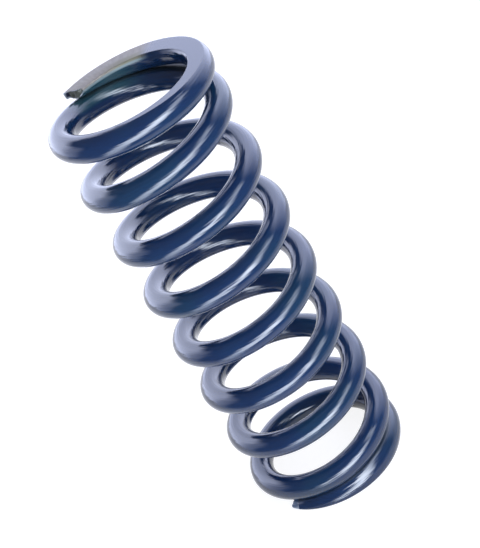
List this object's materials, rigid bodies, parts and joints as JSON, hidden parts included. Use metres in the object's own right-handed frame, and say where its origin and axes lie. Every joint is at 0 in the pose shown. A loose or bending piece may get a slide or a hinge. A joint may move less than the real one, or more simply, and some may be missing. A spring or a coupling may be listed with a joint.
{
  "type": "coilover spring",
  "caption": "Cylindrical compression coil spring of round wire with closed and ground ends and a gloss dark blue coating, for carrying a vehicle corner around a damper.",
  "frame": {"origin": "on the coil axis, in the plane of the lower ground face", "axes": "+Z along the coil axis towards the upper ground face; -Y is the side the picture shows"},
  "size_m": [0.0908, 0.0908, 0.254],
  "materials": {
    "coated_wire": "gloss dark blue powder coat, thin and greyish on the ground end faces"
  },
  "bodies": {
    "root": {"coil_spring": "coated_wire"}
  },
  "joints": []
}
